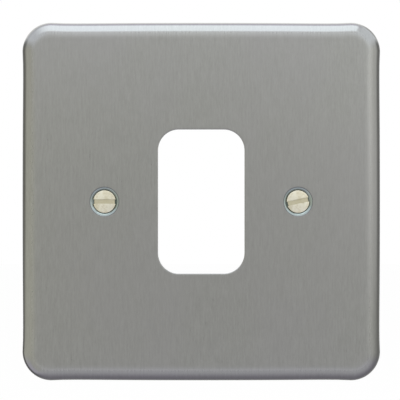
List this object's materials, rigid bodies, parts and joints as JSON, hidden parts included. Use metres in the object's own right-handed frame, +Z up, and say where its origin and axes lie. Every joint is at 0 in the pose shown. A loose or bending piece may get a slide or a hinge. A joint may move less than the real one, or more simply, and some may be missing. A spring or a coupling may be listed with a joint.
{
  "type": "grid switch plate",
  "caption": "Square pressed-steel front plate with rolled edges and a rounded module opening, held to a switch grid frame by slotted countersunk captive screws at its sides.",
  "frame": {"origin": "middle of the plane in which the plate's back rim lies, half way between the two screws' axes", "axes": "+Z up as on a wall, +X to the right seen from the front, +Y from the face into the wall along the screws"},
  "size_m": [0.086, 0.0124, 0.086],
  "materials": {
    "satin_steel": "fine upright brushing under clear lacquer",
    "plated_brass": "dull nickel plate over brass",
    "nylon": "natural moulded nylon"
  },
  "bodies": {
    "plate": {"front_plate": "satin_steel"},
    "left_screw": {"left_screw": "plated_brass", "left_retaining_washer": "nylon"},
    "right_screw": {"right_screw": "plated_brass", "right_retaining_washer": "nylon"}
  },
  "joints": [
    {"name": "left_screw_turn", "type": "hinge", "parent": "plate", "child": "left_screw", "pos_m": [-0.02315, 0, 0], "axis": [0, 1, 0], "continuous": true},
    {"name": "right_screw_turn", "type": "hinge", "parent": "plate", "child": "right_screw", "pos_m": [0.02315, 0, 0], "axis": [0, 1, 0], "continuous": true}
  ]
}
